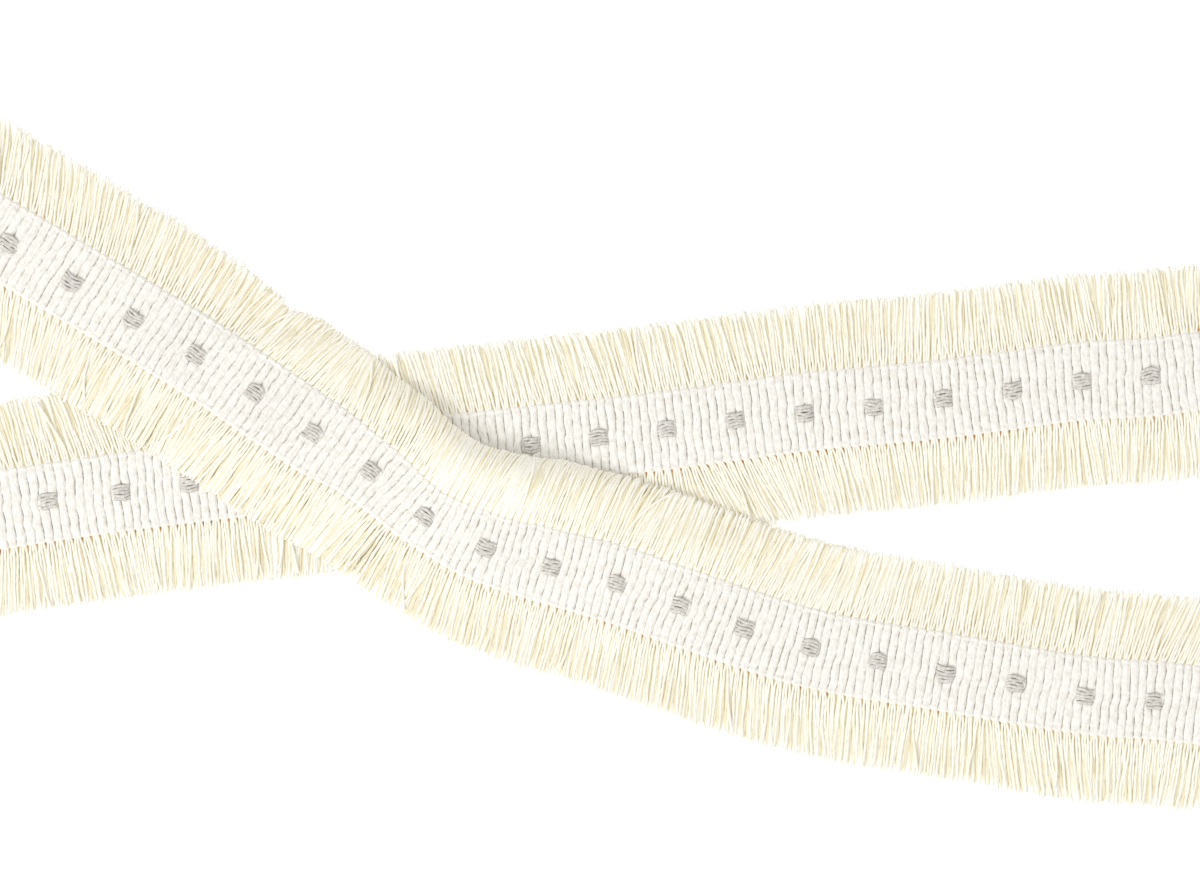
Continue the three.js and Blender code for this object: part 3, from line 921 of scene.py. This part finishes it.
# Centre lines of all strands on one side, and what each strand keeps for its finish.
def strandPaths(word, side, kind):
    look = fringeLook
    plan = strandPlan(word, side, kind)
    count = len(plan["root"])
    root, even, bow, roll, calm, lean, straying, towards, layer, reach = (v[:, None] for v in plan.values())
    share = np.linspace(0, 1, kind["steps"] + 1)[None, :]
    fan = smoothstep(share, 0, look["fanOut"])
    along = root * (1 - fan) + even * fan
    along = along + np.tan(np.radians(lean)) * reach * share ** look["leanGrowth"]
    along = along + np.tan(np.radians(straying)) * reach * share ** look["strayGrowth"]
    along = along + towards * share ** look["pullGrowth"]
    curl = random.normal(0, look["curl"], (count, 2)) * calm
    waves = random.uniform(0, 2 * math.pi, (count, 2))
    slow, quick = look["curlTurns"]
    along = along + curl[:, :1] * share * np.sin(slow * share + waves[:, :1])
    along = along + look["quickCurl"] * curl[:, 1:] * share * np.sin(quick * share + waves[:, 1:])
    turns = 2 * math.pi * reach / look["crimpPitch"] * random.uniform(*look["crimpSpread"], (count, 1))
    crimp = look["crimp"] * smoothstep(share, 0, look["crimpStart"])
    along = along + crimp * np.sin(turns * share + waves.sum(1)[:, None])
    outward = share * (1 - roll) + np.sin(0.5 * math.pi * share) * roll
    across = halfBandAt(root) - look["rootInset"] + (reach + look["rootInset"]) * outward
    settle = smoothstep(share, 0, look["settleBy"])
    rootHeight = look["rootHeight"] - look["lowRoots"] * kind["low"]
    height = rootHeight * (1 - settle) + (kind["radius"] + layer) * settle
    height = height + bow * np.sin(look["bowSweep"] * share)
    waver = look["waver"] * np.sin(math.pi * share)
    height = height + waver * np.sin(look["waverTurns"] * share + waves[:, 1:])
    height = np.maximum(height, kind["radius"] - look["tipDrop"] * roll)
    points = place(along, side * across, height)
    rise = points[..., 2] - height
    sink = look["droop"][0] * smoothstep(rise, *look["droopRise"])
    sink = sink + look["droop"][1] * smoothstep(rise, route["liftOverFringe"], route["liftOverBand"])
    sink = sink * (1 + look["hiddenDroop"] * kind["low"]) * calm
    if side > 0:
        sink = sink + look["settleBack"] * columnAt("raised", root)
    points[..., 2] -= sink * smoothstep(share, look["droopFrom"], 1.0)
    return {
        "kind": kind,
        "grown": np.maximum(rise.max(1), plan["bow"]) > kind["leastLift"],
        "points": points,
        "root": plan["root"],
        "tone": random.uniform(0, 1, count),
        "length": plan["reach"],
        "turn": random.uniform(0, 2 * math.pi, count),
    }


# Tubes round the strands, each with a rounded cut end.
def strandTubes(strands, chosen):
    look = fringeLook
    kind = strands["kind"]
    lines = strands["points"][chosen]
    count, steps = lines.shape[:2]
    forward = np.gradient(lines, axis=1)
    forward /= np.linalg.norm(forward, axis=2)[..., None]
    sideways = np.cross(forward, [0.0, 0.0, 1.0])
    sideways /= np.linalg.norm(sideways, axis=2)[..., None]
    upward = np.cross(sideways, forward)
    share = np.linspace(0, 1, steps)
    sides = kind["sides"]
    angle = np.arange(sides) * 2 * math.pi / sides
    length = strands["length"][chosen][:, None] * share
    winding = strands["turn"][chosen][:, None] + 2 * math.pi * length / look["plyTurn"]
    ply = np.cos(2 * (angle - winding[..., None]))
    (tipFrom, tipTaper), (rootTo, rootTaper) = look["tipTaper"], look["rootTaper"]
    taper = 1 - tipTaper * smoothstep(share, tipFrom, 1.0) - rootTaper * smoothstep(share, rootTo, 0.0)
    radius = (kind["radius"] * taper[None, :, None] * (1 + look["plyRelief"] * ply))[..., None]
    cosine, sine = np.cos(angle)[None, None, :, None], np.sin(angle)[None, None, :, None]
    rings = lines[:, :, None] + radius * (cosine * sideways[:, :, None] + sine * upward[:, :, None])
    lastTip = lines[:, -1] + forward[:, -1] * kind["radius"] * look["tipRound"]
    tips = np.stack([lines[:, 0], lastTip], axis=1)
    points = np.concatenate([rings.reshape(count, steps * sides, 3), tips], axis=1)
    perStrand = points.shape[1]
    index = np.arange(count * perStrand).reshape(count, perStrand)
    grid = index[:, :-2].reshape(count, steps, sides)
    thread = np.zeros(points.shape)
    thread[:, :-2, 0] = np.repeat(length, sides, axis=1)
    thread[:, :-2, 1] = np.tile(np.cos(2 * angle), steps)
    thread[:, :-2, 2] = np.tile(np.sin(2 * angle), steps)
    tone = np.repeat(strands["tone"][chosen], perStrand)
    # A strand's flanks and underside take painted shade, at the roots and, through crest, all along until it
    # fades towards the tip.
    flankShade = 0.5 - 0.5 * np.sin(angle)
    darkTo, dark = look["rootDark"]
    rootward = (dark * smoothstep(share, darkTo, 0.0))[:, None]
    # shade holds the painted shade on the roots' lower flanks and all over the hidden strands
    shade = np.zeros((count, perStrand))
    shade[:, :-2] = np.maximum(rootward * flankShade, kind["depth"]).ravel()
    crest = np.ones((count, perStrand))
    crest[:, :-2] = (1 - flankShade * (1 - smoothstep(share, look["tipShadeFade"], 1.0))[:, None]).ravel()
    faces = ringFaces(grid), endFans(grid, index[:, -2], index[:, -1])
    return points.reshape(-1, 3), *faces, thread.reshape(-1, 3), tone, shade.ravel(), crest.ravel()


edgeLook = {
    "phases": (0.0, 0.12, 0.3, 0.5, 0.7, 0.88),
    "sides": 8,
    "inset": 0.00032,             # centre of the cord inside the band's edge
    "swell": 0.00026,             # the scallop that each rib pushes out
    "swellShape": 0.7,
    "swellSpread": 0.06,
    "mostSwell": 1.2,
    "halfWidth": (0.00034, 0.00046),     # in a groove and on a rib
    "halfHeight": (0.00044, 0.00050),
    "height": (0.00098, 0.00112),
    "deepRootShade": {                     # how deep the painted shade under the roots is, by place along the trim in dots
        "inner": [(0, 0.5), (19, 0.55), (30.4, 0.6), (31.2, 0.95), (35.5, 0.95), (37.5, 0.8), (46, 0.9)],
        "outer": [(0, 0.75), (5, 0.9), (12, 0.8), (20, 0.55), (46, 0.5)],
    },
    "webReach": 0.0019,           # the sheet under the roots that carries the painted deep shade between them
    "webTop": 0.00104,
    "webBottom": 0.00006,
    "webSlope": 0.3,              # where its top starts to fall away, as a share of its reach
    # how the painted deep shade varies at random, its least value, its shares round the sheet and its value
    # at the sheet's ends
    "deepShadeSpread": 0.16,
    "leastDeepShade": 0.1,
    "deepShadeShares": (1, 0.2, 0.2, 1, 1),   # the painted deep shade round the sheet, from the inner bottom round the outside to the inner top
    "endDeepShade": 0.5,
}


# The scalloped cord along the edge between two places, given in ribs.
def edgeCord(side, fromRib, toRib):
    look = edgeLook
    ribs = toRib - fromRib
    at = np.append((np.arange(fromRib, toRib)[:, None] + np.array(look["phases"])).ravel(), toRib)
    distance = cutStart + at * ribLength
    swell = np.abs(np.sin(math.pi * at)) ** look["swellShape"]
    lively = random.normal(0, look["swellSpread"], ribs + 1)[np.minimum((at - fromRib).astype(int), ribs)]
    swell = np.clip(swell * (1 + lively), 0, look["mostSwell"])[:, None]
    angle = np.arange(look["sides"]) * 2 * math.pi / look["sides"]
    between = lambda pair: pair[0] + (pair[1] - pair[0]) * swell
    middle = halfBandAt(distance)[:, None] - look["inset"] + look["swell"] * swell
    across = middle + between(look["halfWidth"]) * np.cos(angle)
    height = between(look["height"]) + between(look["halfHeight"]) * np.sin(angle)
    points, quads, triangles = closedForm(place(distance[:, None], side * across, height), side > 0)
    plain = np.zeros(len(points))
    return points, quads, triangles, threadMarks(distance, angle), plain, plain, plain + 1


# A thin sheet under the roots, painted with the deep shade that shows as small dark triangles between them.
def rootShadeWeb(word, side, fromRib, toRib):
    look = edgeLook
    distance = cutStart + np.arange(fromRib * 2, toRib * 2 + 1) / 2 * ribLength
    inner, outer = -look["inset"], look["webReach"]
    across = halfBandAt(distance)[:, None] + np.array([inner, outer, outer, outer * look["webSlope"], inner])
    top, bottom = look["webTop"], look["webBottom"]
    height = np.array([bottom, bottom, (top + bottom) / 2, top, top])
    points, quads, triangles = closedForm(place(distance[:, None], side * across, height), side > 0)
    # how deep the painted shade is at each half rib, varied at random
    deepRootShade = tableAt(look["deepRootShade"][word], distance / route["dotPitch"])
    deepRootShade = np.clip(deepRootShade + random.normal(0, look["deepShadeSpread"], len(deepRootShade)), look["leastDeepShade"], 1)
    shade = np.append((deepRootShade[:, None] * np.array(look["deepShadeShares"])).ravel(), [look["endDeepShade"]] * 2)
    plain = np.zeros(len(points))
    return points, quads, triangles, np.zeros(points.shape), plain, shade, plain + 1


# One stretch of fringe: its strands, the painted-shade sheet at their roots and the edge cord over it.
def makeFringe(name, layers, word, side, fromRib, toRib):
    start, end = cutStart + fromRib * ribLength, cutStart + toRib * ribLength
    parts = []
    for strands in layers:
        chosen = (strands["root"] >= start) & (strands["root"] < end) & strands["grown"]
        parts.append(strandTubes(strands, chosen))
    parts.append(rootShadeWeb(word, side, fromRib, toRib))
    parts.append(edgeCord(side, fromRib, toRib))
    marks = {"thread": ("FLOAT_VECTOR", np.vstack([part[3] for part in parts]))}
    for i, markName in enumerate(("tone", "rootShade", "crest"), 4):
        marks[markName] = "FLOAT", np.concatenate([part[i] for part in parts])
    slots = np.concatenate([np.full(len(part[i]), part is parts[-1]) for i in (1, 2) for part in parts])
    return makePiece(name, *joinedForm(parts), [fringeMaterial, edgeMaterial], marks, slots)


def makeFringes():
    locks = np.array(fringeLook["locksInStretch"])
    borders = np.round(np.concatenate([[0], np.cumsum(locks)]) / locks.sum() * ribCount).astype(int)
    pieces = []
    for word, side in (("inner", 1), ("outer", -1)):
        layers = [strandPaths(word, side, kind) for kind in (topStrands, underStrands, crossStrands)]
        for i in range(len(locks)):
            piece = makeFringe(f"fringe_yarns_{word}_{i + 1}", layers, word, side, borders[i], borders[i + 1])
            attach(piece, "root")
            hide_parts(f"fringe_{word}_{i + 1}")
            pieces.append(piece)
    return pieces


fringes = makeFringes()

print("floating the dots")
dotLook = {
    "side": 0.0036,
    "floats": 5,
    "overlap": 1.15,              # a float's width as a share of its place
    "widthSpread": 0.05,
    "taper": 0.12,                # how much narrower a float is at its ends
    "taperShape": 4,
    "halfThickness": 0.00034,
    "steps": 9,
    "sides": 8,
    "rise": 0.00082,
    "riseSpread": 0.00004,
    "archShape": 3.2,             # how flat a float's top is between its two ends
    "start": 0.00128,
    "reach": 0.00226,             # from the dot's middle to where a float dives into the cloth
    "reachSpread": 0.03,
    "bow": 0.00028,
    "placeSpread": 0.00003,
    "wave": 0.00012,
    "waveTurns": 4.0,
    "threadSpread": 0.01,         # a float's plies may start anywhere in this length
    "cornerRound": 0.03,          # how much shorter the outer floats are
    "endRoom": 0.0041,            # no dot starts nearer to the cut end than this
}


# One float yarn of a dot, with the marks of its finish.
def makeFloat(number, middle, bow, sink):
    look = dotLook
    pitch = look["side"] / look["floats"]
    share = np.linspace(-1, 1, look["steps"] + 1)
    angle = np.arange(look["sides"]) * 2 * math.pi / look["sides"]
    centre = (number - (look["floats"] - 1) / 2) * pitch
    fromMiddle = abs(centre) / (look["side"] / 2)
    shorter = 1 - look["cornerRound"] * fromMiddle ** 3
    ends = look["reach"] * (shorter + random.normal(0, look["reachSpread"], 2))
    along = np.where(share < 0, share * ends[0], share * ends[1])
    width = pitch / 2 * look["overlap"] * (1 + random.normal(0, look["widthSpread"]))
    width = width * (1 - look["taper"] * np.abs(share) ** look["taperShape"])
    across = centre + bow * (1 - share ** 2) + random.normal(0, look["placeSpread"])
    across = across + look["wave"] * np.sin(look["waveTurns"] * share + random.uniform(*anyPhase))
    rise = look["rise"] + random.normal(0, look["riseSpread"])
    height = look["start"] + rise * (1 - np.abs(share) ** look["archShape"]) + sink
    ringAcross = across[:, None] + width[:, None] * np.cos(angle)
    ringHeight = height[:, None] + look["halfThickness"] * np.sin(angle)
    form = closedForm(place(middle + along[:, None], ringAcross, ringHeight))
    thread = threadMarks(along + random.uniform(0, look["threadSpread"]), angle)
    # crest is 1 on a float's top and 0 underneath, for its painted flank shade
    crest = np.append(np.tile(0.5 + 0.5 * np.sin(angle), len(share)), [0.5, 0.5])
    return *form, thread, crest


def makeDot(number, middle):
    bow = random.normal(0, dotLook["bow"])
    sink = random.normal(0, dotLook["riseSpread"])
    floats = [makeFloat(i, middle, bow, sink) for i in range(dotLook["floats"])]
    marks = {
        "thread": ("FLOAT_VECTOR", np.vstack([part[3] for part in floats])),
        "crest": ("FLOAT", np.concatenate([part[4] for part in floats])),
    }
    piece = makePiece(f"dot_floats_{number:02d}", *joinedForm(floats), [dotMaterial], marks)
    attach(piece, "root")
    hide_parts(f"dot_{number:02d}")
    return piece


dots = []
middle = 0.0
while middle < cutEnd - dotLook["endRoom"]:
    dots.append(makeDot(len(dots) + 1, middle))
    middle += route["dotPitch"]

print("lighting the table")
studio = {
    "floorSize": 6.0,
    "floorDrop": 0.0001,
    "floorWhite": (0.93, 0.93, 0.93, 1),
    "glowWhite": (1, 1, 1, 1),
    "glow": 0.35,
    "roughness": 0.9,
    "specular": 0.0,
    "skyColour": (1.0, 0.985, 0.945, 1),
    "skyStrength": 0.77,
    "softboxes": {                # place, size and power
        "key_softbox": ((-1.1, -0.9, 1.2), 0.7, 15),
        "fill_softbox": ((1.0, 0.9, 1.5), 1.2, 1.5),
    },
}


def makeFloor():
    half, low = studio["floorSize"] / 2, -studio["floorDrop"]
    mesh = bpy.data.meshes.new("table_top")
    mesh.from_pydata([(-half, -half, low), (half, -half, low), (half, half, low), (-half, half, low)],
                     [], [(0, 1, 2, 3)])
    floor = bpy.data.objects.new("table_top", mesh)
    bpy.context.scene.collection.objects.link(floor)
    material, tree, shader = startMaterial("white_table", studio)
    shader.inputs["Base Color"].default_value = studio["floorWhite"]
    shader.inputs["Emission Color"].default_value = studio["glowWhite"]
    shader.inputs["Emission Strength"].default_value = studio["glow"]
    mesh.materials.append(material)


def makeLights():
    world = bpy.data.worlds.new("studio_air")
    world.use_nodes = True
    world.node_tree.nodes["Background"].inputs[0].default_value = studio["skyColour"]
    world.node_tree.nodes["Background"].inputs[1].default_value = studio["skyStrength"]
    bpy.context.scene.world = world
    for name, (spot, size, power) in studio["softboxes"].items():
        data = bpy.data.lights.new(name, "AREA")
        data.energy, data.size = power, size
        box = bpy.data.objects.new(name, data)
        box.location = spot
        aim = Vector((*photoCamera["centre"], 0)) - Vector(spot)
        box.rotation_euler = aim.to_track_quat("-Z", "Y").to_euler()
        box.visible_camera = False
        bpy.context.scene.collection.objects.link(box)


makeFloor()
makeLights()
bpy.context.scene.view_settings.view_transform = "Standard"
